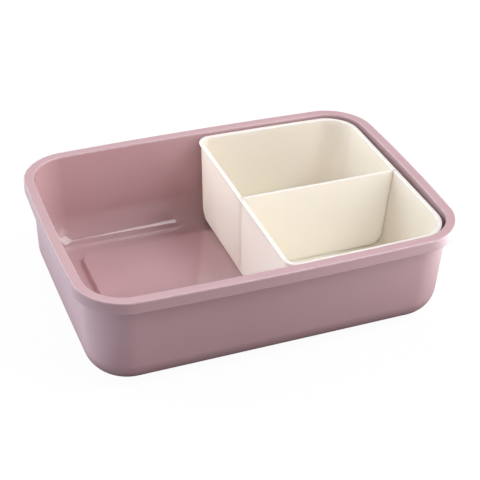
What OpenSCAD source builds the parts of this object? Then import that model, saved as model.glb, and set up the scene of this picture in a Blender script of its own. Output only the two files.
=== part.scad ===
// Open lunch box: a moulded outer box with a wide skirted rim, a loose tray
// that fills its right half, and a thin divider that drops into the tray.
// Millimetres. Origin on the ground under the middle of the box, +X along
// its length to the right, -Y towards the front, +Z up.

/* [Outer box] */
// Length of the rim between its corners, before the sides bow out
box_length = 250; // [225:1:280]
// Width of the rim between its corners, before the sides bow out
box_width = 175.5; // [160:0.5:200]
// Height from the ground to the top of the rim
box_height = 70.4; // [60:0.2:90]
// How far the middle of each side of the rim bows out
bow = 2.8; // [0:0.1:4]
// Corner radius of the rim, on its outside
rim_radius = 29.6; // [26:0.1:34]
// Width of the flat top of the rim
rim_width = 6.6; // [5.5:0.1:9]
// Depth of the skirt that hangs from the rim
skirt_depth = 8.2; // [5:0.1:12]
// Thickness of the skirt and of the top of the rim
skirt_thick = 1.9; // [1.4:0.1:2.2]
// How far the outside of the body stands in from the edge of the rim
body_in = 4.9; // [4.4:0.1:5.4]
// Corner radius of the body just under the rim
body_radius = 26.2; // [24:0.1:30]
// Draft angle of the walls of the body
draft = 0.55; // [0:0.05:1.5]
// Radius between the outside of the walls and the ground
foot_radius = 18; // [12:0.5:20]
// Width of the flat ring that the box stands on
foot_width = 3; // [2:0.1:5]

/* [Floor] */
// Height of the floor inside the box
floor_z = 4.2; // [3.4:0.1:6]
// Thickness of the floor
floor_thick = 1.9; // [1.4:0.1:2.2]
// Radius between the walls and the floor, inside
cove_radius = 20; // [14:0.5:21]
// Half length of the raised panel in the floor, at its foot
panel_x = 94.3; // [60:0.1:95]
// Half width of the raised panel in the floor, at its foot
panel_y = 56.8; // [40:0.1:58]
// Corner radius of the raised panel
panel_radius = 10.8; // [10:0.1:20]
// How far the panel is raised
panel_rise = 3.4; // [1.6:0.1:3.6]
// Width of the slope round the panel
panel_slope = 2.6; // [2.4:0.1:5]
// Radius of the shallow dimple in the middle of the floor, where the plastic was let in
dimple_radius = 3.6; // [2:0.1:5]
// Depth of the dimple
dimple_depth = 0.3; // [0.1:0.05:0.6]

/* [Tray] */
// Where the left edge of the tray's lip stands
tray_left = 1.1; // [-20:0.1:12]
// Where the right edge of the tray's lip stands
tray_right = 117; // [108:0.1:117.4]
// Gap between the lip of the tray and the inside of the rim, front and back
tray_gap = 1; // [0.8:0.1:2]
// How far the top of the tray stands below the top of the rim
tray_drop = 2; // [0:0.1:4]
// Thickness of the walls and the floor of the tray
tray_thick = 1.7; // [1.4:0.1:2.2]
// How far the lip stands out from the wall
lip_out = 1.4; // [0.8:0.1:2]
// Height of the lip
lip_height = 2; // [1.6:0.1:3]
// Radius of the two corners of the lip in the middle of the box
lip_radius_mid = 9.5; // [8:0.1:12]
// Radius of the two corners of the lip that sit in the corners of the box
lip_radius_end = 22; // [20:0.1:23]
// Draft of the wall in the middle of the box
draft_mid = 1.4; // [0.5:0.1:4]
// Draft of the wall at the end of the box
draft_end = 3.6; // [2:0.1:5]
// Draft of the front and the back wall
draft_side = 2; // [1.5:0.1:3]
// Radius between the outside of the walls and the base, except in the middle
heel_radius = 9.7; // [8:0.1:11]
// The same radius for the wall in the middle of the box
heel_radius_mid = 1.4; // [0.8:0.1:3]

/* [Divider] */
// Where the divider stands, from the middle of the box
divider_y = -1.2; // [-30:0.1:30]
// Thickness of the divider
divider_thick = 1.5; // [1.2:0.1:2]
// Depth of the groove that holds the edges of the divider
groove_depth = 0.6; // [0.4:0.1:0.8]
// Clearance of the divider in its groove, on each face
groove_gap = 0.15; // [0.1:0.05:0.3]

/* [Hidden] */
pink = [0.76, 0.60, 0.62];
cream = [0.95, 0.92, 0.86];
cut_over = 1;           // how far a cut runs past the face it opens

corner_steps = 10;
side_steps = 6;
ring_points = 4 * (corner_steps + side_steps);

half_length = box_length / 2;
half_width = box_width / 2;
skirt_z = box_height - skirt_depth;     // lower edge of the skirt
under_rim_z = box_height - skirt_thick;
rim_edge = 0.8;         // rounding of the rim's edges
skirt_chamfer = 0.35;   // on the outer lower edge of the skirt
inner_radius = rim_radius - rim_width;  // corners of the opening
body_fuller = 1.4;      // growth of the body's corner radius, skirt to ground
inner_fuller = 1.6;     // the same inside, from the rim to the ground
cove_fuller = 1.4;      // the same where the cove starts
foot_inner_radius = 6.6;                // corners inside the standing ring
foot_step = 0.4;        // slope from the standing ring up to the floor
underside_z = floor_z - floor_thick;
hollow_in = 0.9;        // inset of the hollow under the panel from the panel's foot

tray_base_z = floor_z + panel_rise + 0.1;   // just clear of the panel
tray_floor_z = tray_base_z + tray_thick;
tray_top_z = box_height - tray_drop;
lip_z = tray_top_z - lip_height;        // underside of the lip
lip_edge = 0.8;         // rounding of the lip's edges
tray_cove = heel_radius - tray_thick;   // inside radius, wall to floor
tray_cove_mid = 2.6;    // the same for the wall in the middle of the box
least_radius_mid = 1.2; // limits for the tray's corner radii
least_radius_end = 2;
divider_edge_gap = 0.15;                // divider's edges to the groove's bottom
divider_drop = 0.1;     // top of the divider below the top of the tray

// ---- rings -------------------------------------------------------------
// How far a round of radius r, swept through angle a, is short of its full reach
function short_cos(r, a) = r * (1 - cos(a));
function short_sin(r, a) = r * (1 - sin(a));

function arc(center, r, start) = [for (i = [0:corner_steps])
    let (a = start + 90 * i / corner_steps) center + r * [cos(a), sin(a)]];
// Points between two corners, without the ends
function side(from, to) = [for (i = [1:side_steps - 1]) from + (to - from) * i / side_steps];
// A rectangle centred in Y, with its own corner radius at each end
function outline(left, right, half_w, left_r, right_r) =
    let (corners = [
        arc([right - right_r, half_w - right_r], right_r, 0),
        arc([left + left_r, half_w - left_r], left_r, 90),
        arc([left + left_r, left_r - half_w], left_r, 180),
        arc([right - right_r, right_r - half_w], right_r, 270)])
    [for (k = [0:3]) each concat(corners[k],
        side(corners[k][corner_steps], corners[(k + 1) % 4][0]))];
// Lifts an outline to z and bows it: bow_x at the ends, bow_y at the front and back
function level(points, z, bow_x, bow_y) = [for (p = points) [
    p.x + bow_x * p.x / half_length * (1 - pow(p.y / half_width, 2)),
    p.y + bow_y * p.y / half_width * (1 - pow(p.x / half_length, 2)),
    z]];
// What is left of the rim's bow at height z: the base is straight
function bow_at(z) = bow * min(1, z / skirt_z);

// A closed skin through a list of rings, with a middle point at each end
module skin(rings, bottom, top) {
    last = len(rings) - 1;
    function at(k, j) = 1 + k * ring_points + j % ring_points;
    polyhedron(
        points = concat([bottom], [for (r = rings) each r], [top]),
        faces = concat(
            [for (j = [0:ring_points - 1]) [0, at(0, j), at(0, j + 1)]],
            [for (k = [0:last - 1], j = [0:ring_points - 1])
                [at(k, j), at(k + 1, j), at(k, j + 1)]],
            [for (k = [0:last - 1], j = [0:ring_points - 1])
                [at(k, j + 1), at(k + 1, j), at(k + 1, j + 1)]],
            [for (j = [0:ring_points - 1])
                [at(last + 1, 0), at(last, j + 1), at(last, j)]]),
        convexity = 8);
}

// ---- outer box ---------------------------------------------------------
// Insets are measured in from the edge of the rim.
function box_ring(inset, z, r) =
    let (x = half_length - inset)
    level(outline(-x, x, half_width - inset, r, r), z, bow_at(z), bow_at(z));
// A ring whose corners are concentric with the rim's
function rim_ring(inset, z) = box_ring(inset, z, rim_radius - inset);
// Wall insets at height z, without the rounds at the foot
function draft_in(z) = tan(draft) * (skirt_z - z);
function outer_in(z) = body_in + draft_in(z);
function inner_in(z) = rim_width + draft_in(z);
// A ring of the body's outside, drawn in by the foot's round
function body_ring(z, round_in) = box_ring(outer_in(z) + round_in, z,
    body_radius + body_fuller * (skirt_z - z) / skirt_z - round_in);
// A ring of the panel's S-shaped slope: angle 0 at its foot, 180 at its top
function panel_ring(angle, inset, foot_z) =
    let (i = inset + short_cos(panel_slope / 2, angle), x = panel_x - i, r = panel_radius - i)
    level(outline(-x, x, panel_y - i, r, r), foot_z + short_cos(panel_rise / 2, angle), 0, 0);

// From the body's wall out under the rim and down inside the skirt: inset, z, corner radius
under_rim = [
    [body_in, under_rim_z - 0.8, body_radius],
    [body_in - 0.6, under_rim_z, body_radius],
    [skirt_thick + 0.5, under_rim_z, rim_radius - skirt_thick - 0.4],
    [skirt_thick, under_rim_z - 0.6, rim_radius - skirt_thick],
    [skirt_thick - 0.2, skirt_z, rim_radius - skirt_thick]];

// From the hollow under the panel, round the foot and up to the skirt's outside
function box_outside() =
    let (foot_in = outer_in(0) + foot_radius + foot_width)
    concat(
        [for (a = [180:-30:0]) panel_ring(a, hollow_in, underside_z)],
        [box_ring(foot_in + foot_step, underside_z, foot_inner_radius - foot_step),
         box_ring(foot_in, 0, foot_inner_radius)],
        [for (a = [0:15:90]) body_ring(short_cos(foot_radius, a), short_sin(foot_radius, a))],
        [for (z = [30, 46]) body_ring(z, 0)],
        [for (row = under_rim) box_ring(row[0], row[1], row[2])],
        [rim_ring(skirt_chamfer, skirt_z), rim_ring(0, skirt_z + skirt_chamfer)]);

// Over the rim, down the wall, round the cove and up on to the panel
function box_inside() = concat(
    [for (a = [0:30:90])
        rim_ring(short_cos(rim_edge, a), box_height - short_sin(rim_edge, a))],
    [for (a = [90:-30:0])
        rim_ring(rim_width - short_cos(rim_edge, a), box_height - short_sin(rim_edge, a))],
    [for (z = [skirt_z, 45, 32]) box_ring(inner_in(z), z,
        inner_radius + inner_fuller * (box_height - z) / box_height)],
    [for (a = [0:15:90])
        let (z = floor_z + short_sin(cove_radius, a), round_in = short_cos(cove_radius, a))
        box_ring(inner_in(z) + round_in, z, inner_radius + cove_fuller - round_in)],
    [for (a = [0:30:180]) panel_ring(a, 0, floor_z)]);

module outer_box() {
    panel_z = floor_z + panel_rise;
    color(pink) difference() {
        skin(concat(box_outside(), box_inside()),
            [0, 0, underside_z + panel_rise], [0, 0, panel_z]);
        translate([0, 0, panel_z - dimple_depth])
            cylinder(r = dimple_radius, h = dimple_depth + cut_over, $fn = 48);
    }
}

// ---- tray --------------------------------------------------------------
// A ring of the tray, with insets from the lip's edge for the middle wall, the
// end wall and the front and back. Only the front and back bow.
function tray_ring(mid_in, end_in, side_in, z) = level(
    outline(tray_left + mid_in, tray_right - end_in,
        half_width - rim_width - tray_gap - side_in,
        max(least_radius_mid, lip_radius_mid - mid_in),
        max(least_radius_end, lip_radius_end - end_in)),
    z, 0, bow_at(z));
function lip_ring(inset, z) = tray_ring(inset, inset, inset, z);
// How far a round of radius r draws its wall in at a height above its foot
function heel(r, rise) = rise < r ? r - sqrt(max(0, r * r - pow(r - rise, 2))) : 0;
// Inset of a wall face, depth in from its outside, rounded into a face at foot_z
function wall_in(z, depth, foot_z, angle, r) =
    lip_out + depth + tan(angle) * (lip_z - z) + heel(r, z - foot_z);
function wall_ring(z, depth, foot_z, mid_r, r) = tray_ring(
    wall_in(z, depth, foot_z, draft_mid, mid_r),
    wall_in(z, depth, foot_z, draft_end, r),
    wall_in(z, depth, foot_z, draft_side, r), z);

// Heights of the rings in the rounds, above the base outside and the floor inside
outer_rises = [0, 0.12, 0.5, heel_radius_mid, 2.6, 4.4, 6.8, heel_radius];
inner_rises = [tray_cove, 5.4, 3.6, 2.4, 1.2, 0.4, 0];

// From the base up the wall and round the lip's outer edges
function tray_outside() = concat(
    [for (z = concat([for (rise = outer_rises) tray_base_z + rise], [30, 48, lip_z]))
        wall_ring(z, 0, tray_base_z, heel_radius_mid, heel_radius)],
    [for (a = [90:-30:0]) lip_ring(short_cos(lip_edge, a), lip_z + short_sin(lip_edge, a))],
    [for (a = [0:30:90]) lip_ring(short_cos(lip_edge, a), tray_top_z - short_sin(lip_edge, a))]);

// Over the lip's inner edge and down to the floor
function tray_inside() = concat(
    [for (a = [90:-30:0]) lip_ring(lip_out + tray_thick - short_cos(lip_edge, a),
        tray_top_z - short_sin(lip_edge, a))],
    [for (z = concat([lip_z, 48, 30], [for (rise = inner_rises) tray_floor_z + rise]))
        wall_ring(z, tray_thick, tray_floor_z, tray_cove_mid, tray_cove)]);

// Inside faces of the middle and the end wall
function inner_left(z) =
    tray_left + wall_in(z, tray_thick, tray_floor_z, draft_mid, tray_cove_mid);
function inner_right(z) =
    tray_right - wall_in(z, tray_thick, tray_floor_z, draft_end, tray_cove);

// Section of the tray's inside in X and Z, up to height top, grown into the
// walls and floor and stood up at the divider's place
module cross_plate(grow, top, thick) {
    left_rises = [0, 0.25, 0.7, 1.4, tray_cove_mid];
    right_rises = [tray_cove, 6, 4.4, 2.8, 1.6, 0.8, 0.3, 0];
    translate([0, divider_y + thick / 2, 0]) rotate([90, 0, 0]) linear_extrude(thick)
        polygon(concat(
            [for (rise = left_rises) let (z = tray_floor_z + rise)
                [inner_left(z) - grow * rise / tray_cove_mid, z - grow]],
            [[inner_left(top) - grow, top], [inner_right(top) + grow, top]],
            [for (rise = right_rises)
                let (z = tray_floor_z + rise, share = rise / tray_cove)
                [inner_right(z) + grow * share, z - grow * (1 - share)]]));
}

module insert_tray() {
    mid_x = (tray_left + tray_right) / 2;
    color(cream) difference() {
        skin(concat(tray_outside(), tray_inside()),
            [mid_x, 0, tray_base_z], [mid_x, 0, tray_floor_z]);
        cross_plate(groove_depth, tray_top_z + cut_over, divider_thick + 2 * groove_gap);
    }
}

// ---- divider -----------------------------------------------------------
module divider() {
    color(cream)
        cross_plate(groove_depth - divider_edge_gap, tray_top_z - divider_drop, divider_thick);
}

outer_box();
insert_tray();
divider();
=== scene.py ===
"""A pink plastic box with a rounded rim and skirt, holding a cream tray and a divider plate.

The box is centred on x = y = 0 and stands on z = 0, its length along x. The tray hangs inside
it, and the divider stands along x in a groove across the tray. The camera looks from the
front (-y) and a little from the left (-x). Shapes are in millimetres until their meshes are
made; lights, floor and texture scales are in metres.
"""

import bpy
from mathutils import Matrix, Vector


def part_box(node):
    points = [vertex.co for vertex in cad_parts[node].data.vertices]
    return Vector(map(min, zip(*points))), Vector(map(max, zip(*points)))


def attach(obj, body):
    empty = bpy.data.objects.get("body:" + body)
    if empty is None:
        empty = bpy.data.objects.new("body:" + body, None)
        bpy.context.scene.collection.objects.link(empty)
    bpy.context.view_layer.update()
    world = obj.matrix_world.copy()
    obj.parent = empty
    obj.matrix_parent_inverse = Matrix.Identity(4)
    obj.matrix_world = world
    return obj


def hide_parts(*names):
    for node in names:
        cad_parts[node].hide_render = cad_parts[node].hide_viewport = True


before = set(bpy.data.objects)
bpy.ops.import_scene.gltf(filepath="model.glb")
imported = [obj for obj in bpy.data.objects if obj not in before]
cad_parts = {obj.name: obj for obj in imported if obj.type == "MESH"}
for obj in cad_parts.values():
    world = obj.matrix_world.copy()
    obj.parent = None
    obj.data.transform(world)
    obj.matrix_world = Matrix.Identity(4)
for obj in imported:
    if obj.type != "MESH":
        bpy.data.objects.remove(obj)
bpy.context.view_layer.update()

import math

import bpy
import numpy as np
from mathutils import Matrix, Vector

MM = 0.001


def box_mm(piece):
    """The low and high corners of a CAD piece."""
    return [np.array(corner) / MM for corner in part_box(piece)]


# --------------------------------------------------------------------------
# Dimensions. Heights and lengths come from the CAD pieces. An inset is
# measured inwards from the outline at the rim.
# --------------------------------------------------------------------------
box_high = box_mm("outer_box")[1]
tray_low, tray_high = box_mm("insert_tray")
divider_low, divider_high = box_mm("divider")

# Box, outside
BOW = 2.8                              # how far the middle of each side swells at the skirt
HALF_L, HALF_W = box_high[0] - BOW, box_high[1] - BOW
HEIGHT = box_high[2]
RIM_R, RIM_W, EDGE_R = 29.6, 6.6, 0.8  # corner radius, width and edge round of the rim
SKIRT_H, SKIRT_T = 8.2, 1.9            # the skirt hangs down from the rim
SKIRT_Z = HEIGHT - SKIRT_H
BODY_INSET, BODY_R = 4.9, 26.2         # body wall under the skirt, and its corner radius
DRAFT = math.tan(math.radians(0.55))
CORNER_GROWTH = 1.4                    # gain in corner radius from the top of a wall to its foot
FOOT_R, FOOT_W = 18.0, 3.0             # round at the foot, and the flat it stands on

# Box, inside and bottom
INNER_R = RIM_R - RIM_W
FLOOR_Z, FLOOR_T, COVE_R = 4.2, 1.9, 20.0
UNDER_Z = FLOOR_Z - FLOOR_T
PANEL_X, PANEL_Y, PANEL_R = 94.3, 56.8, 10.8  # half sizes and corners of the raised panel
PANEL_H, PANEL_SLOPE = 3.4, 2.6               # its height, and the width of its slope
DIMPLE_R, DIMPLE_DEPTH = 3.6, 0.3             # shallow dimple in the middle of the panel

# Tray
TRAY_X0, TRAY_X1 = tray_low[0], tray_high[0]
TRAY_BASE, TRAY_TOP = tray_low[2], tray_high[2]
TRAY_GAP, TRAY_T = 1.0, 1.7            # gap to the box's sides, and wall thickness
TRAY_FLOOR = TRAY_BASE + TRAY_T
LIP_OUT, LIP_H, LIP_EDGE_R = 1.4, 2.0, 0.8
LIP_LEFT_R, LIP_RIGHT_R = 9.5, 22.0    # corner radii at the left and right ends
LIP_Z = TRAY_TOP - LIP_H
LEAN_LEFT, LEAN_RIGHT, LEAN_SIDE = (math.tan(math.radians(a)) for a in (1.4, 3.6, 2.0))
# Skins of the tray's wall: depth into the wall, foot height, foot round on the left,
# foot round on the right and the sides
OUTER_SKIN = (0.0, TRAY_BASE, 1.4, 9.7)
INNER_SKIN = (TRAY_T, TRAY_FLOOR, 2.6, 9.7 - TRAY_T)

# Divider and its groove
DIVIDER_Y = (divider_low[1] + divider_high[1]) / 2
DIVIDER_HALF = (divider_high[1] - divider_low[1]) / 2
DIVIDER_TOP = divider_high[2]
DIVIDER_EDGE_R = 0.45
GROOVE_DEPTH, GROOVE_GAP = 0.6, 0.15
GROOVE_HALF = DIVIDER_HALF + GROOVE_GAP / 3
GROOVE_STEP = 0.001                    # the groove's walls are this wide, almost upright


# --------------------------------------------------------------------------
# Lofted shells
# --------------------------------------------------------------------------
def arc(x, y, radius, start, count):
    """A quarter circle from a start angle in degrees."""
    t = np.radians(start + 90 * np.arange(count + 1) / count)
    return np.c_[x + radius * np.cos(t), y + radius * np.sin(t)]


def turn(start, end, count):
    """Pairs (1 - cos, 1 - sin) at even angles between two, in degrees: the steps of a round."""
    t = np.radians(np.linspace(start, end, count))
    return zip(1 - np.cos(t), 1 - np.sin(t))


def smooth(t):
    return 3 * t * t - 2 * t ** 3


def along(a, b, shares):
    return a + (b - a) * np.asarray(shares)[:, None]


class Ring:
    """Rounded rectangles with the same points, anticlockwise from the right end of the
    back right corner.

    end_shares: half length of an end's straight -> its points, as shares from -y to +y.
    parts: indices of back right corner, back, back left corner, left end, front left corner,
    front, front right corner and right end.
    """

    def __init__(self, n_corner, n_long, end_shares):
        self.n_corner, self.end_shares = n_corner, end_shares
        self.long_shares = np.arange(1, n_long) / n_long
        sizes = [n_corner + 1, n_long - 1, n_corner + 1, len(end_shares(1.0))] * 2
        starts = np.cumsum([0] + sizes)
        self.parts = [np.arange(a, b) for a, b in zip(starts, starts[1:])]
        self.count = starts[-1]

    def points(self, x0, x1, y, left_r, right_r):
        n = self.n_corner
        back_right = arc(x1 - right_r, y - right_r, right_r, 0, n)
        back_left = arc(x0 + left_r, y - left_r, left_r, 90, n)
        front_left = arc(x0 + left_r, left_r - y, left_r, 180, n)
        front_right = arc(x1 - right_r, right_r - y, right_r, 270, n)
        left = 1 - self.end_shares(y - left_r)[::-1]
        right = self.end_shares(y - right_r)
        return np.concatenate([
            back_right, along(back_right[-1], back_left[0], self.long_shares),
            back_left, along(back_left[-1], front_left[0], left),
            front_left, along(front_left[-1], front_right[0], self.long_shares),
            front_right, along(front_right[-1], back_right[0], right)])


def bow_at(z):
    return BOW * min(1.0, max(0.0, z / SKIRT_Z))


def level(outline, z, bow_x, bow_y):
    """An outline at height z, with its ends and sides swollen in the middle."""
    x, y = outline.T
    return np.c_[x + bow_x * x / HALF_L * (1 - (y / HALF_W) ** 2),
                 y + bow_y * y / HALF_W * (1 - (x / HALF_L) ** 2),
                 np.full(len(outline), z)]


def skin_faces(n, n_rings):
    """A fan from vertex 0 to the first ring, then quads from ring to ring."""
    faces = [(0, 1 + (j + 1) % n, 1 + j) for j in range(n)]
    for k in range(n_rings - 1):
        a = 1 + k * n
        for j in range(n):
            b = (j + 1) % n
            faces.append((a + j, a + b, a + n + b, a + n + j))
    return faces


def closed_skin(name, rings, first, last, material, values):
    """A closed skin through rings, with a middle point at each end."""
    n = len(rings[0])
    coords = np.concatenate([[first], *rings, [last]])
    faces = skin_faces(n, len(rings))
    end = len(coords) - 1
    faces += [(end, end - n + j, end - n + (j + 1) % n) for j in range(n)]
    return make_object(name, coords, faces, material, values)


def make_object(name, coords, faces, material, values):
    """values: point attributes by name."""
    mesh = bpy.data.meshes.new(name)
    mesh.from_pydata((coords * MM).tolist(), [], faces)
    for key, value in values.items():
        attribute = mesh.attributes.new(key, "FLOAT", "POINT")
        attribute.data.foreach_set("value", np.asarray(value, np.float32))
    mesh.validate()
    mesh.update()
    ob = bpy.data.objects.new(name, mesh)
    bpy.context.scene.collection.objects.link(ob)
    mesh.materials.append(material)
    mesh.shade_smooth()
    return ob


# --------------------------------------------------------------------------
# Materials
# --------------------------------------------------------------------------
class Nodes:
    """A material with a Principled shader, and short ways to add nodes to it."""

    def __init__(self, name):
        self.material = bpy.data.materials.new(name)
        self.material.use_nodes = True
        self.tree = self.material.node_tree
        self.tree.nodes.clear()
        self.output = self.add("ShaderNodeOutputMaterial")
        self.bsdf = self.add("ShaderNodeBsdfPrincipled")
        self.coords = None
        self.link(self.bsdf.outputs[0], self.output.inputs[0])

    def add(self, kind, **settings):
        node = self.tree.nodes.new(kind)
        for key, value in settings.items():
            setattr(node, key, value)
        return node

    def link(self, source, target):
        self.tree.links.new(source, target)

    def feed(self, target, value):
        """Link a socket to an input, or set the input to a number or colour."""
        if isinstance(value, bpy.types.NodeSocket):
            self.link(value, target)
        else:
            target.default_value = (*value, 1.0) if isinstance(value, tuple) else value

    def surface(self, name, value):
        self.feed(self.bsdf.inputs[name], value)

    def noise(self, scale, detail, roughness=0.5):
        node = self.add("ShaderNodeTexNoise")
        node.inputs["Scale"].default_value = scale
        node.inputs["Detail"].default_value = detail
        node.inputs["Roughness"].default_value = roughness
        if self.coords is None:
            self.coords = self.add("ShaderNodeTexCoord").outputs["Object"]
        self.link(self.coords, node.inputs["Vector"])
        return node.outputs[0]

    def attribute(self, name):
        return self.add("ShaderNodeAttribute", attribute_name=name).outputs["Fac"]

    def math(self, operation, a, b):
        node = self.add("ShaderNodeMath", operation=operation)
        self.feed(node.inputs[0], a)
        self.feed(node.inputs[1], b)
        return node.outputs[0]

    def remap(self, value, span, to):
        node = self.add("ShaderNodeMapRange")
        self.link(value, node.inputs[0])
        for i, bound in enumerate((*span, *to)):
            node.inputs[i + 1].default_value = bound
        return node.outputs[0]

    def mix(self, factor, a, b, kind="RGBA"):
        node = self.add("ShaderNodeMix", data_type=kind)
        slot_a, slot_b, out = (6, 7, 2) if kind == "RGBA" else (2, 3, 0)
        self.link(factor, node.inputs[0])
        self.feed(node.inputs[slot_a], a)
        self.feed(node.inputs[slot_b], b)
        return node.outputs[out]

    def bump(self, height, distance, strength):
        node = self.add("ShaderNodeBump")
        node.inputs["Distance"].default_value = distance
        node.inputs["Strength"].default_value = strength
        self.link(height, node.inputs["Height"])
        return node.outputs[0]


PLASTIC_IOR = 1.49


def box_plastic():
    """Dusty pink: satin and finely textured outside, polished inside, rubbed smoother along the
    edges, where a lighter colour paints a highlight.
    """
    m = Nodes("dusty_pink_plastic")
    inside = m.attribute("inside")  # 1 on the polished inside, 0 on the satin outside
    edge = m.attribute("edge")      # 1 along the rounded edges, which get a painted highlight and are rubbed smoother
    cloud = m.noise(scale=14.0, detail=2.0)
    grain = m.noise(scale=2600.0, detail=2.0)
    patch_noise = m.noise(scale=220.0, detail=4.0, roughness=0.6)

    # the third, lighter pink is a painted highlight along the rounded edges; a noise varies how
    # much of it shows
    pink, light_pink, edge_highlight = (0.600, 0.397, 0.423), (0.620, 0.414, 0.440), (0.76, 0.61, 0.64)
    base = m.mix(m.remap(cloud, span=(0.35, 0.65), to=(0.0, 1.0)), pink, light_pink)
    edge_highlight_amount = m.remap(patch_noise, span=(0.35, 0.7), to=(0.2, 0.55))
    base = m.mix(m.math("MULTIPLY", edge, edge_highlight_amount), base, edge_highlight)
    m.surface("Base Color", base)

    satin = m.remap(grain, span=(0.3, 0.7), to=(0.34, 0.44))
    # handling polishes the edges
    polish = m.math("MULTIPLY", edge, m.remap(patch_noise, span=(0.3, 0.75), to=(0.2, 0.12)))
    satin = m.math("SUBTRACT", satin, polish)
    gloss = m.remap(patch_noise, span=(0.3, 0.75), to=(0.018, 0.035))
    m.surface("Roughness", m.mix(inside, satin, gloss, kind="FLOAT"))

    # the grain all but fades out on the inside
    inside_fade = 0.985
    amount = m.math("SUBTRACT", 1.0, m.math("MULTIPLY", inside, inside_fade))
    height = m.math("MULTIPLY", grain, amount)
    m.surface("Normal", m.bump(height, distance=0.00004, strength=0.5))
    m.surface("IOR", PLASTIC_IOR)
    return m.material


def cream_plastic(name, cream, light_cream):
    m = Nodes(name)
    edge = m.attribute("edge")
    cloud = m.noise(scale=18.0, detail=2.0)
    patch_noise = m.noise(scale=260.0, detail=4.0, roughness=0.6)
    # a greyer colour on the lip and on the divider's top edges is painted shade that dims them
    edge_shade_amount, edge_shade_colour = 0.75, (0.80, 0.79, 0.78)
    base = m.mix(m.remap(cloud, span=(0.35, 0.65), to=(0.0, 1.0)), cream, light_cream)
    base = m.mix(m.math("MULTIPLY", edge, edge_shade_amount), base, edge_shade_colour)
    m.surface("Base Color", base)
    m.surface("Roughness", m.remap(patch_noise, span=(0.3, 0.75), to=(0.16, 0.22)))
    ripple = m.noise(scale=500.0, detail=1.0)
    m.surface("Normal", m.bump(ripple, distance=0.000004, strength=0.3))
    m.surface("IOR", PLASTIC_IOR)
    # the thin plastic lets some light through
    m.surface("Subsurface Weight", 0.8)
    m.bsdf.inputs["Subsurface Radius"].default_value = (1.0, 1.1, 1.3)
    m.surface("Subsurface Scale", 0.004)
    return m.material


# --------------------------------------------------------------------------
# Outer box
# --------------------------------------------------------------------------
BOX = Ring(28, 36, lambda half: np.arange(1, 28) / 28)


def drafted(inset, z):
    """The inset at z of a wall that has this inset at the skirt's lower edge and above."""
    return inset + DRAFT * max(0.0, SKIRT_Z - z)


def body_corner(z):
    return BODY_R + CORNER_GROWTH * (SKIRT_Z - min(z, SKIRT_Z)) / SKIRT_Z


class BoxSkin:
    """The box's rings, with an inside and an edge value for each."""

    def __init__(self):
        self.rings, self.inside, self.edge = [], [], []

    def add(self, ring, inside, edge=0.0):
        self.rings.append(ring)
        self.inside.append(inside)
        self.edge.append(edge)

    def wall(self, inset, z, corner, inside=0.0, edge=0.0):
        outline = BOX.points(inset - HALF_L, HALF_L - inset, HALF_W - inset, corner, corner)
        self.add(level(outline, z, bow_at(z), bow_at(z)), inside, edge)

    def panel(self, inset, z, inside):
        corner = PANEL_R - inset
        outline = BOX.points(inset - PANEL_X, PANEL_X - inset, PANEL_Y - inset, corner, corner)
        self.add(level(outline, z, 0, 0), inside)

    def disc(self, radius, z, inside):
        """A circle in the middle, turned so that its points lie near the panel's bearings."""
        n = BOX.count
        t = 2 * np.pi * (np.arange(n) - 0.5 * BOX.n_corner) / n
        t += math.atan2(PANEL_Y, PANEL_X) * 0.8
        self.add(np.c_[radius * np.cos(t), radius * np.sin(t), np.full(n, z)], inside)


# Round mark in the middle of the underside: radius, height over the panel's underside
UNDER_MARK = [
    (1.0, -0.35), (1.25, -0.35), (1.4, -0.2), (1.5, 0.25), (1.9, 0.32),
    (4.4, 0.32), (4.8, 0.28), (5.1, 0.05), (5.4, 0.0), (7.0, 0.0),
]
# Inner edge of the standing flat: inset past the flat's edge, z, corner radius
FOOT_EDGE = [(0.1, 0.4, 6.3), (0.0, 0.12, 6.5), (-0.15, 0.0, 6.7), (-0.4, 0.0, 6.9)]


def box_underside(skin):
    """From the middle, over the hollow under the panel, to the edge of the standing flat."""
    for radius, rise in UNDER_MARK:
        skin.disc(radius, UNDER_Z + PANEL_H + rise, 0)
    hollow_inset, flat_margin = 0.9, 0.4
    skin.panel(hollow_inset + PANEL_SLOPE + flat_margin, UNDER_Z + PANEL_H, 0)
    for rise, _ in turn(180, 0, 13):
        skin.panel(hollow_inset + PANEL_SLOPE * rise / 2, UNDER_Z + PANEL_H / 2 * rise, 0)
    skin.panel(flat_margin, UNDER_Z, 0)

    edge = drafted(BODY_INSET, 0) + FOOT_R + FOOT_W
    step_r = 0.8
    skin.wall(edge + 1.6, UNDER_Z, 5.4)
    for down, out in turn(0, 90, 5):
        skin.wall(edge + 0.35 + step_r * out, UNDER_Z - step_r * down, 5.9)
    for past, z, corner in FOOT_EDGE:
        skin.wall(edge + past, z, corner)


def box_outside(skin):
    """From the standing flat, round the foot and up the body."""
    margin = 0.3
    skin.wall(drafted(BODY_INSET, 0) + FOOT_R + margin, 0.0, body_corner(0) - FOOT_R - margin)
    for up, out in turn(0, 90, 33):
        z, d = FOOT_R * up, FOOT_R * out
        edge = 0.15 if z < 3 else 0
        skin.wall(drafted(BODY_INSET, z) + d, z, body_corner(z) - d, edge=edge)
    for z in np.linspace(FOOT_R + 0.6, HEIGHT - SKIRT_T - 1.2, 14):
        skin.wall(drafted(BODY_INSET, z), z, body_corner(z))


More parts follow.
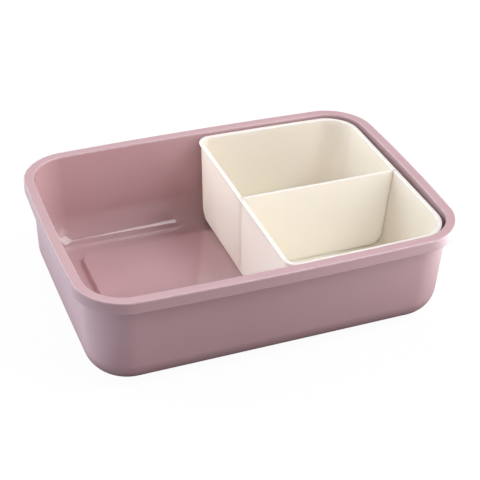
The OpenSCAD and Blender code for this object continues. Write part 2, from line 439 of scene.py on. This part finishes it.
def box_skirt(skin):
    """Out under the rim, down the skirt's inner face, round its lower edge and up outside."""
    top = HEIGHT - SKIRT_T
    body_round, skirt_round = 0.8, 0.6
    for out, down in turn(0, 90, 5):
        skin.wall(BODY_INSET - body_round * out, top - body_round * down, BODY_R)
    for out, down in turn(90, 0, 5):
        skin.wall(SKIRT_T + skirt_round * out, top - skirt_round * down, RIM_R - SKIRT_T - 0.3)
    lower_w, lower_r = SKIRT_T - 0.2, 0.3
    skin.wall(lower_w, SKIRT_Z + lower_r, RIM_R - SKIRT_T)
    # the edge values here paint a highlight, the lighter edge pink, along the skirt's lower edge
    for out, up in turn(0, 180, 9):
        inset = lower_w * (2 - out) / 2
        skin.wall(inset, SKIRT_Z + lower_r * up, RIM_R - inset, edge=1.0)
    skin.wall(0, SKIRT_Z + 0.6, RIM_R, edge=0.7)
    for z in np.linspace(SKIRT_Z + 1.2, HEIGHT - EDGE_R - 0.4, 6):
        skin.wall(0, z, RIM_R)


def box_rim(skin):
    """Over the rim, turning from the satin outside to the polished inside."""
    # the edge values paint a highlight, the lighter edge pink, along both rounds of the rim
    for out, down in turn(0, 90, 9):
        inset = EDGE_R * out
        skin.wall(inset, HEIGHT - EDGE_R * down, RIM_R - inset, edge=1.0)
    for across in (0.15, 0.5, 1.2, 2.5, 3.7, 4.6, 4.85):
        skin.wall(EDGE_R + across, HEIGHT, RIM_R - EDGE_R - across)
    for (out, down), inside in zip(turn(90, 0, 9), np.linspace(0, 1, 9)):
        d = EDGE_R * out
        skin.wall(RIM_W - d, HEIGHT - EDGE_R * down, INNER_R + d, inside, edge=1.0)


def box_inside(skin):
    """Down the inner wall, round the cove, up on the panel and into the dimple."""
    for z in np.linspace(HEIGHT - EDGE_R - 0.5, FLOOR_Z + COVE_R + 0.4, 16):
        corner = INNER_R + CORNER_GROWTH * (HEIGHT - z) / HEIGHT
        skin.wall(drafted(RIM_W, z), z, corner, 1.0)
    for inward, up in turn(0, 90, 41):
        z, d = FLOOR_Z + COVE_R * up, COVE_R * inward
        skin.wall(drafted(RIM_W, z) + d, z, INNER_R + CORNER_GROWTH - d, 1.0)
    skin.wall(drafted(RIM_W, FLOOR_Z) + COVE_R + 0.4, FLOOR_Z, INNER_R + 1.0 - COVE_R, 1.0)

    top, margin = FLOOR_Z + PANEL_H, 0.5
    skin.panel(-margin, FLOOR_Z, 1.0)
    for t in np.linspace(0, 1, 25):
        skin.panel(PANEL_SLOPE * t, FLOOR_Z + PANEL_H * smooth(t), 1.0)
    skin.panel(PANEL_SLOPE + margin, top, 1.0)

    slope_half = 1.2
    skin.disc(DIMPLE_R + 2.2, top, 1.0)
    skin.disc(DIMPLE_R + 1.6, top, 1.0)
    for t in np.linspace(0, 1, 9):
        radius = DIMPLE_R + slope_half - 2 * slope_half * t
        skin.disc(radius, top - DIMPLE_DEPTH * smooth(t), 1.0)
    skin.disc(0.8, top - DIMPLE_DEPTH, 1.0)


def outer_box():
    skin = BoxSkin()
    for section in (box_underside, box_outside, box_skirt, box_rim, box_inside):
        section(skin)
    values = {"inside": np.r_[0, np.repeat(skin.inside, BOX.count), 1],
              "edge": np.r_[0, np.repeat(skin.edge, BOX.count), 0]}
    return closed_skin("box_shell", skin.rings,
                       first=(0, 0, UNDER_Z + PANEL_H + UNDER_MARK[0][1]),
                       last=(0, 0, FLOOR_Z + PANEL_H - DIMPLE_DEPTH),
                       material=box_plastic(), values=values)


# --------------------------------------------------------------------------
# Tray
# --------------------------------------------------------------------------
def tray_ends(half):
    """Shares along the end walls, with close points at the edges of the groove."""
    near = GROOVE_HALF + np.array([0.35, 0.12, 0.0, -GROOVE_STEP])
    groove = DIVIDER_Y + np.r_[-near, near[::-1]]
    clear = 3  # from the groove's middle to the next even points
    before = np.linspace(-1, (DIVIDER_Y - clear) / half, 13)[1:]
    after = np.linspace((DIVIDER_Y + clear) / half, 1, 13)[:-1]
    return (np.r_[before, groove / half, after] + 1) / 2


TRAY = Ring(24, 30, tray_ends)
# Places among an end wall's points: the groove's four edge points, and the two on its bottom
GROOVE_EDGES, GROOVE_BOTTOM = slice(14, 18), slice(15, 17)


def heel(radius, z):
    """How far a round at a wall's foot stands in at height z over the foot."""
    return radius - math.sqrt(max(0.0, radius ** 2 - (radius - z) ** 2)) if z < radius else 0.0


def wall_insets(z, skin):
    """Insets of a skin's left wall, right wall and sides from the lip's outline."""
    depth, base, left_r, foot_r = skin
    return [LIP_OUT + depth + lean * (LIP_Z - z) + heel(radius, z - base)
            for lean, radius in ((LEAN_LEFT, left_r), (LEAN_RIGHT, foot_r), (LEAN_SIDE, foot_r))]


def foot_heights(skin):
    """Heights that step evenly round both foot rounds of a skin."""
    _, base, left_r, foot_r = skin
    steps = [left_r * up for up, _ in turn(0, 90, 9)]
    steps += [foot_r * up for up, _ in turn(0, 90, 21)]
    return [base + h for h in sorted(set(round(float(h), 4) for h in steps))]


def tray_rings():
    """The rings, an edge value for each, and the number of the first inner ring."""
    rings, edge = [], []

    def add(left, right, side, z, edge_value=0.0):
        outline = TRAY.points(TRAY_X0 + left, TRAY_X1 - right, HALF_W - RIM_W - TRAY_GAP - side,
                              max(1.2, LIP_LEFT_R - left), max(2.0, LIP_RIGHT_R - right))
        rings.append(level(outline, z, 0, bow_at(z)))
        edge.append(edge_value)

    def lip(inset, z, edge_value):
        add(inset, inset, inset, z, edge_value)

    def walls(heights, skin):
        for z in heights:
            add(*wall_insets(z, skin), z)

    # up the outside
    walls(foot_heights(OUTER_SKIN), OUTER_SKIN)
    walls(np.linspace(TRAY_BASE + OUTER_SKIN[3] + 1, LIP_Z - 0.3, 12), OUTER_SKIN)
    # small round between the wall and the lip
    under_r = 0.25
    for out, down in turn(0, 90, 4):
        lip(LIP_OUT - under_r * out, LIP_Z - under_r * down, 0.0)
    # over the lip; its edge values put painted shade, the greyer edge colour, on it: a share on
    # the outer round, all of it over the top and inner round
    for inward, up in turn(90, 0, 8):
        lip(LIP_EDGE_R * inward, LIP_Z + LIP_EDGE_R * up, 0.3)
    for inward, down in turn(0, 90, 8):
        lip(LIP_EDGE_R * inward, TRAY_TOP - LIP_EDGE_R * down, 1.0)
    width = LIP_OUT + TRAY_T
    for share in (0.25, 0.5, 0.75):
        lip(LIP_EDGE_R + (width - 2 * LIP_EDGE_R) * share, TRAY_TOP, 1.0)
    first_inner = len(rings)
    for out, down in turn(90, 0, 8):
        lip(width - LIP_EDGE_R * out, TRAY_TOP - LIP_EDGE_R * down, 1.0)
    # down the inside
    walls(np.linspace(LIP_Z, TRAY_FLOOR + OUTER_SKIN[3], 14), INNER_SKIN)
    walls(foot_heights(INNER_SKIN)[::-1], INNER_SKIN)
    return rings, edge, first_inner


def press_groove(rings):
    """Press the groove into the inner faces of both end walls."""
    left, right = TRAY.parts[3], TRAY.parts[7]
    _, base, left_r, foot_r = INNER_SKIN
    inner = GROOVE_HALF - GROOVE_STEP
    offsets = np.array([GROOVE_HALF, inner, -inner, -GROOVE_HALF])
    for ring in rings:
        for wall, outward, radius in ((left, -1, left_r), (right, 1, foot_r)):
            # the groove's four edges stay straight where the sides bow
            ring[wall[GROOVE_EDGES], 1] = DIVIDER_Y - outward * offsets
            # into the wall, and on the round at its foot turning down to the floor's groove
            share = min(1.0, max(0.0, (ring[wall[0], 2] - base) / radius))
            ring[wall[GROOVE_BOTTOM], 0] += outward * GROOVE_DEPTH * share
            ring[wall[GROOVE_BOTTOM], 2] -= GROOVE_DEPTH * (1 - share)


def tray_floor(ring, base, start):
    """Inside floor: a grid, crossed by the groove, joined to the last ring.

    base: index of the ring's first vertex; start: index of the grid's first vertex.
    Rows run from the back to the front, columns from the right to the left.
    """
    back_right, back, back_left, left, front_left, front, front_right, right = TRAY.parts
    back_edge = np.r_[back_right[-1], back, back_left[0]]
    left_edge = np.r_[back_left[-1], left, front_left[0]]
    front_edge = np.r_[front_left[-1], front, front_right[0]][::-1]
    right_edge = np.r_[front_right[-1], right, back_right[0]][::-1]

    coords = []
    for y in ring[left_edge, 1]:
        in_groove = abs(y - DIVIDER_Y) < GROOVE_HALF - GROOVE_STEP / 2
        z = TRAY_FLOOR - GROOVE_DEPTH if in_groove else TRAY_FLOOR
        coords += [(x, y, z) for x in ring[back_edge, 0]]
    rows, columns = len(left_edge), len(back_edge)
    grid = start + np.arange(rows * columns).reshape(rows, columns)

    def strip(a, b, k):
        return (a[k], a[k + 1], b[k + 1], b[k])

    faces = [strip(grid[r], grid[r + 1], k) for r in range(rows - 1) for k in range(columns - 1)]
    for k in range(columns - 1):
        faces.append(strip(base + back_edge, grid[0], k))
        faces.append(strip(grid[-1], base + front_edge, k))
    for r in range(rows - 1):
        faces.append((grid[r, -1], base + left_edge[r], base + left_edge[r + 1], grid[r + 1, -1]))
        faces.append((base + right_edge[r], grid[r, 0], grid[r + 1, 0], base + right_edge[r + 1]))
    # each corner is a fan to the grid's corner
    fans = ((grid[0, 0], back_right), (grid[0, -1], back_left),
            (grid[-1, -1], front_left), (grid[-1, 0], front_right))
    for j in range(TRAY.n_corner):
        for tip, corner in fans:
            faces.append((tip, base + corner[j], base + corner[j + 1]))
    return coords, faces


def tray():
    rings, edge, first_inner = tray_rings()
    press_groove(rings[first_inner:])
    n = TRAY.count
    start = 1 + len(rings) * n
    floor_coords, floor_faces = tray_floor(rings[-1], start - n, start)
    middle = ((TRAY_X0 + TRAY_X1) / 2, 0, TRAY_BASE)
    coords = np.concatenate([[middle], *rings, floor_coords])
    faces = skin_faces(n, len(rings)) + floor_faces
    values = np.r_[0, np.repeat(edge, n), np.zeros(len(floor_coords))]
    material = cream_plastic("cream_plastic", (0.95, 0.895, 0.80), (0.96, 0.905, 0.81))
    return make_object("tray_shell", coords, faces, material, {"edge": values})


# --------------------------------------------------------------------------
# Divider
# --------------------------------------------------------------------------
def inner_ends(z):
    """x of the tray's left and right inner walls at height z."""
    left, right, _ = wall_insets(z, INNER_SKIN)
    return TRAY_X0 + left, TRAY_X1 - right


def divider_outline():
    """(x, z) clockwise from the lower left, reaching into the groove all round but the top."""
    reach = GROOVE_DEPTH - GROOVE_GAP
    _, base, left_r, right_r = INNER_SKIN
    top = DIVIDER_TOP
    points = []
    for up, _ in turn(0, 90, 13):
        z = base + left_r * up
        points.append((inner_ends(z)[0] - reach * up, z - reach * (1 - up)))
    for z in np.linspace(base + left_r, top, 16)[1:]:
        points.append((inner_ends(z)[0] - reach, z))
    x0, x1 = inner_ends(top)
    for share in np.linspace(0, 1, 40)[1:-1]:
        points.append((x0 - reach + (x1 - x0 + 2 * reach) * share, top))
    for z in np.linspace(top, base + right_r, 16)[:-1]:
        points.append((inner_ends(z)[1] + reach, z))
    for up, _ in turn(90, 0, 19):
        z = base + right_r * up
        points.append((inner_ends(z)[1] + reach * up, z - reach * (1 - up)))
    x0, x1 = inner_ends(base)
    for share in np.linspace(1, 0, 40)[1:-1]:
        points.append((x0 + (x1 - x0) * share, base - reach))
    return np.array(points)


def divider():
    outline = divider_outline()
    run = np.roll(outline, -1, 0) - np.roll(outline, 1, 0)
    run /= np.linalg.norm(run, axis=1)[:, None]
    inward = np.c_[run[:, 1], -run[:, 0]]

    # across the thickness: inset, y from the divider's middle
    radius = DIVIDER_EDGE_R
    profile = [(radius + 0.25, DIVIDER_HALF)]
    profile += [(radius * inset, DIVIDER_HALF - radius * down) for down, inset in turn(0, 90, 6)]
    profile += [(inset, -y) for inset, y in profile[::-1]]
    rings = []
    for inset, y in profile:
        x, z = (outline + inward * inset).T
        rings.append(np.c_[x, np.full(len(x), DIVIDER_Y + y), z])
    # only the rounded edges near the top get the greyer edge colour, painted shade
    near_top = rings[0][:, 2] > DIVIDER_TOP - 1.5
    edge = [near_top * (1.0 if inset < radius else 0.0) for inset, _ in profile]

    x, z = sum(inner_ends(DIVIDER_TOP)) / 2, (DIVIDER_TOP + TRAY_FLOOR) / 2
    material = cream_plastic("cream_divider_plastic", (0.94, 0.885, 0.785), (0.95, 0.895, 0.795))
    return closed_skin("divider_plate", rings,
                       first=(x, DIVIDER_Y + DIVIDER_HALF, z),
                       last=(x, DIVIDER_Y - DIVIDER_HALF, z),
                       material=material, values={"edge": np.concatenate([[0], *edge, [0]])})


box_ob = outer_box()
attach(box_ob, "box")
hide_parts("outer_box")
tray_ob = tray()
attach(tray_ob, "tray")
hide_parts("insert_tray")
divider_ob = divider()
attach(divider_ob, "divider_plate")
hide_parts("divider")


# --------------------------------------------------------------------------
# Floor
# --------------------------------------------------------------------------
def floor():
    """Pale table. The camera sees it near white with a faint contact shadow; for the light it
    sends back up on to the box it is a darker grey, and the cards give the bright parts."""
    glow_strength, bounce_grey = 0.955, 0.15
    half_size, drop = 6.0, 0.0002
    m = Nodes("pale_floor")
    m.surface("Base Color", m.mix(m.noise(scale=3.0, detail=2.0), (0.048,) * 3, (0.052,) * 3))
    m.surface("Specular IOR Level", 0.0)
    m.surface("Roughness", 0.6)
    glow = m.add("ShaderNodeEmission")
    m.feed(glow.inputs[0], (1, 1, 1))
    m.feed(glow.inputs[1], glow_strength)
    seen = m.add("ShaderNodeAddShader")
    m.link(m.bsdf.outputs[0], seen.inputs[0])
    m.link(glow.outputs[0], seen.inputs[1])
    grey = m.add("ShaderNodeBsdfDiffuse")
    m.feed(grey.inputs[0], (bounce_grey,) * 3)
    path = m.add("ShaderNodeLightPath")
    pick = m.add("ShaderNodeMixShader")
    m.link(path.outputs["Is Camera Ray"], pick.inputs[0])
    m.link(grey.outputs[0], pick.inputs[1])
    m.link(seen.outputs[0], pick.inputs[2])
    m.link(pick.outputs[0], m.output.inputs[0])

    mesh = bpy.data.meshes.new("studio_floor")
    corners = [(x * half_size, y * half_size, 0) for x, y in ((-1, -1), (1, -1), (1, 1), (-1, 1))]
    mesh.from_pydata(corners, [], [(0, 1, 2, 3)])
    ob = bpy.data.objects.new("studio_floor", mesh)
    bpy.context.scene.collection.objects.link(ob)
    mesh.materials.append(m.material)
    ob.location.z = -drop


floor()


# --------------------------------------------------------------------------
# Lights
# --------------------------------------------------------------------------
# Name, azimuth from +y towards +x, elevation, distance, width, height, roll, power, colour
LIGHTS = [
    ("key_box", 118.95, 56.2, 4.0, 1.71, 2.07, -19.6, 67.0, (0.93, 0.99, 1)),
    ("left", -90.0, 25.0, 1.3, 1.8, 1.2, 0, 7.5, (0.88, 0.87, 1)),
    ("left_back", -40.0, 27.0, 1.5, 1.5, 1.2, 0, 13.2, (0.9, 1, 0.96)),
    ("right_front", 112.0, 24.0, 1.5, 2.0, 1.2, 0, 19.2, (1, 0.94, 0.91)),
    ("top_back", 0.0, 60.0, 1.5, 1.4, 0.9, 0, 6.3, (1, 0.88, 0.93)),
    ("front_low", -178.0, 9.0, 1.5, 1.4, 0.45, 0, 2.4, (1, 0.77, 0.84)),
    ("tray_fill", -90.0, 14.0, 1.2, 1.2, 0.5, 0, 1.1, (1, 0.98, 0.92)),
    ("tray_corner", -90.0, 5.0, 0.085, 0.03, 0.05, 0, 0.025, (1, 0.92, 0.76)),
    ("tray_top", -145.0, 58.0, 1.0, 0.6, 0.6, 0, 1.5, (1, 0.86, 0.72)),
    ("tray_back", -135.0, 20.0, 0.05, 0.03, 0.03, 0, 0.0010, (1, 0.97, 1)),
]
# Where the lights point, if not at the default
DEFAULT_AIM = (0, 0, 0.04)
AIMS = {"key_box": (-0.097, 0.073, 0.009), "tray_corner": (0.003, 0.08, 0.036),
        "tray_back": (0.102, 0.073, 0.04)}
SPREADS = {"tray_back": 80}  # degrees; the others spread over 180

# Cards on the table that throw light up on the box: name, x, y, size in x and y, power, colour
CARDS = [
    ("card_right", 0.55, -0.2, 0.7, 0.9, 10.3, (0.84, 0.94, 1)),
    ("card_left", -0.23, 0.1, 0.2, 0.5, 0.28, (0.83, 0.89, 1)),
]
CARD_Z = 0.0005


def place(ob, axes, location):
    """Put an object with its own x, y and z axes along the given ones."""
    matrix = Matrix(axes).transposed().to_4x4()
    matrix.translation = location
    ob.matrix_world = matrix


def area_light(name, width, height, power, colour, spread=180):
    light = bpy.data.lights.new(name, "AREA")
    light.shape = "RECTANGLE"
    light.size, light.size_y = width, height
    light.energy = power
    light.color = colour
    light.spread = math.radians(spread)
    ob = bpy.data.objects.new(name, light)
    bpy.context.scene.collection.objects.link(ob)
    return ob


def link_group(name, *objects):
    group = bpy.data.collections.new(name)
    for ob in objects:
        group.objects.link(ob)
    return group


thin_walls = link_group("thin_walls", tray_ob, divider_ob)
for name, azimuth, elevation, distance, width, height, roll, power, colour in LIGHTS:
    azimuth, elevation, roll = map(math.radians, (azimuth, elevation, roll))
    away = Vector((math.sin(azimuth) * math.cos(elevation),
                   math.cos(azimuth) * math.cos(elevation), math.sin(elevation)))
    # the width of every light stays level, apart from its roll
    side = Vector((away.y, -away.x, 0)).normalized()
    side = side * math.cos(roll) + away.cross(side) * math.sin(roll)
    ob = area_light(name, width, height, power, colour, SPREADS.get(name, 180))
    aim = Vector(AIMS.get(name, DEFAULT_AIM))
    place(ob, (side, away.cross(side), away), away * distance + aim)
    if name.startswith("tray"):
        # only the tray and divider take and shade it, as the part that comes through thin walls
        ob.light_linking.receiver_collection = thin_walls
        ob.light_linking.blocker_collection = thin_walls
        ob.visible_camera = ob.visible_glossy = False

box_walls = link_group("box_walls", box_ob)
for name, x, y, width, height, power, colour in CARDS:
    ob = area_light(name, width, height, power, colour)
    place(ob, ((1, 0, 0), (0, -1, 0), (0, 0, -1)), (x, y, CARD_Z))
    ob.visible_camera = False
    ob.light_linking.receiver_collection = box_walls


# --------------------------------------------------------------------------
# World, camera and view
# --------------------------------------------------------------------------
def studio_world(light_strength, seen_strength):
    """A white world, dim as a light and bright to the camera."""
    world = bpy.data.worlds.new("studio")
    bpy.context.scene.world = world
    world.use_nodes = True
    nodes, links = world.node_tree.nodes, world.node_tree.links
    nodes.clear()
    output = nodes.new("ShaderNodeOutputWorld")
    backgrounds = [nodes.new("ShaderNodeBackground") for _ in range(2)]
    pick = nodes.new("ShaderNodeMixShader")
    path = nodes.new("ShaderNodeLightPath")
    links.new(path.outputs["Is Camera Ray"], pick.inputs[0])
    for i, strength in enumerate((light_strength, seen_strength)):
        backgrounds[i].inputs[0].default_value = (1, 1, 1, 1)
        backgrounds[i].inputs[1].default_value = strength
        links.new(backgrounds[i].outputs[0], pick.inputs[i + 1])
    links.new(pick.outputs[0], output.inputs[0])


def studio_camera():
    azimuth, elevation, roll = (math.radians(a) for a in (-22.8, 34.49, 2.3))
    distance = 798.0
    # the middle of the box's top lies this far right of and above the view's middle line
    shift_right, shift_up = -2.144075, -29.280637
    back = Vector((math.sin(azimuth) * math.cos(elevation),
                   -math.cos(azimuth) * math.cos(elevation), math.sin(elevation)))
    level_right = Vector((math.cos(azimuth), math.sin(azimuth), 0))
    level_up = back.cross(level_right)
    right = level_right * math.cos(roll) + level_up * math.sin(roll)
    up = level_up * math.cos(roll) - level_right * math.sin(roll)
    position = back * distance - right * shift_right + up * shift_up

    camera = bpy.data.cameras.new("camera")
    camera.sensor_width = 36.0
    camera.lens = 91.8375
    camera.clip_start, camera.clip_end = 0.01, 50
    ob = bpy.data.objects.new("camera", camera)
    bpy.context.scene.collection.objects.link(ob)
    place(ob, (right, up, back), position * MM + Vector((0, 0, HEIGHT * MM)))
    bpy.context.scene.camera = ob


studio_world(light_strength=0.02, seen_strength=1.0)
studio_camera()

view = bpy.context.scene.view_settings
view.view_transform = "Standard"
view.look = "None"
view.exposure = 0.0
view.gamma = 1.0
